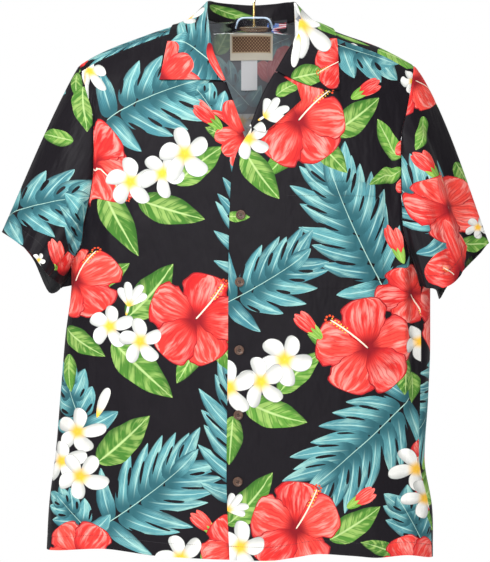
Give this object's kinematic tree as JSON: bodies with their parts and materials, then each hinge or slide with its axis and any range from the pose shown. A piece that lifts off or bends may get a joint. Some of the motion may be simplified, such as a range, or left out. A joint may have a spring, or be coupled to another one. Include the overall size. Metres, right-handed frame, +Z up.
{
  "type": "hawaiian shirt on a clear hanger",
  "caption": "Short-sleeved camp-collar shirt in a black floral print, filled out on a clear shaped hanger with a gold wire hook.",
  "frame": {"origin": "seat of the hanger's hook, where the wire's inner top rests on a rail", "axes": "+Z up, the shirt's front faces -Y, +X towards the wearer's left"},
  "size_m": [0.7015, 0.2076, 0.8441],
  "materials": {
    "printed_cloth": "soft woven rayon, printed with red, white, green and teal flowers and leaves on black",
    "coconut": "polished dark coconut shell",
    "clear_plastic": "clear moulded plastic",
    "gold_wire": "polished gold-coloured wire",
    "label_weave": "woven brown label with a cream border",
    "label_satin": "white satin tape"
  },
  "bodies": {
    "root": {"front_right": "printed_cloth", "front_left": "printed_cloth", "back_panel": "printed_cloth", "back_yoke": "printed_cloth", "sleeve_right": "printed_cloth", "sleeve_left": "printed_cloth", "collar": "printed_cloth", "lapel_right": "printed_cloth", "lapel_left": "printed_cloth", "pocket": "printed_cloth", "button_1": "coconut", "button_2": "coconut", "button_3": "coconut", "button_4": "coconut", "button_5": "coconut", "neck_label": "label_weave", "care_label": "label_satin", "flag_tag": "label_satin", "hanger_body": "clear_plastic", "hanger_hook": "gold_wire"}
  },
  "joints": []
}
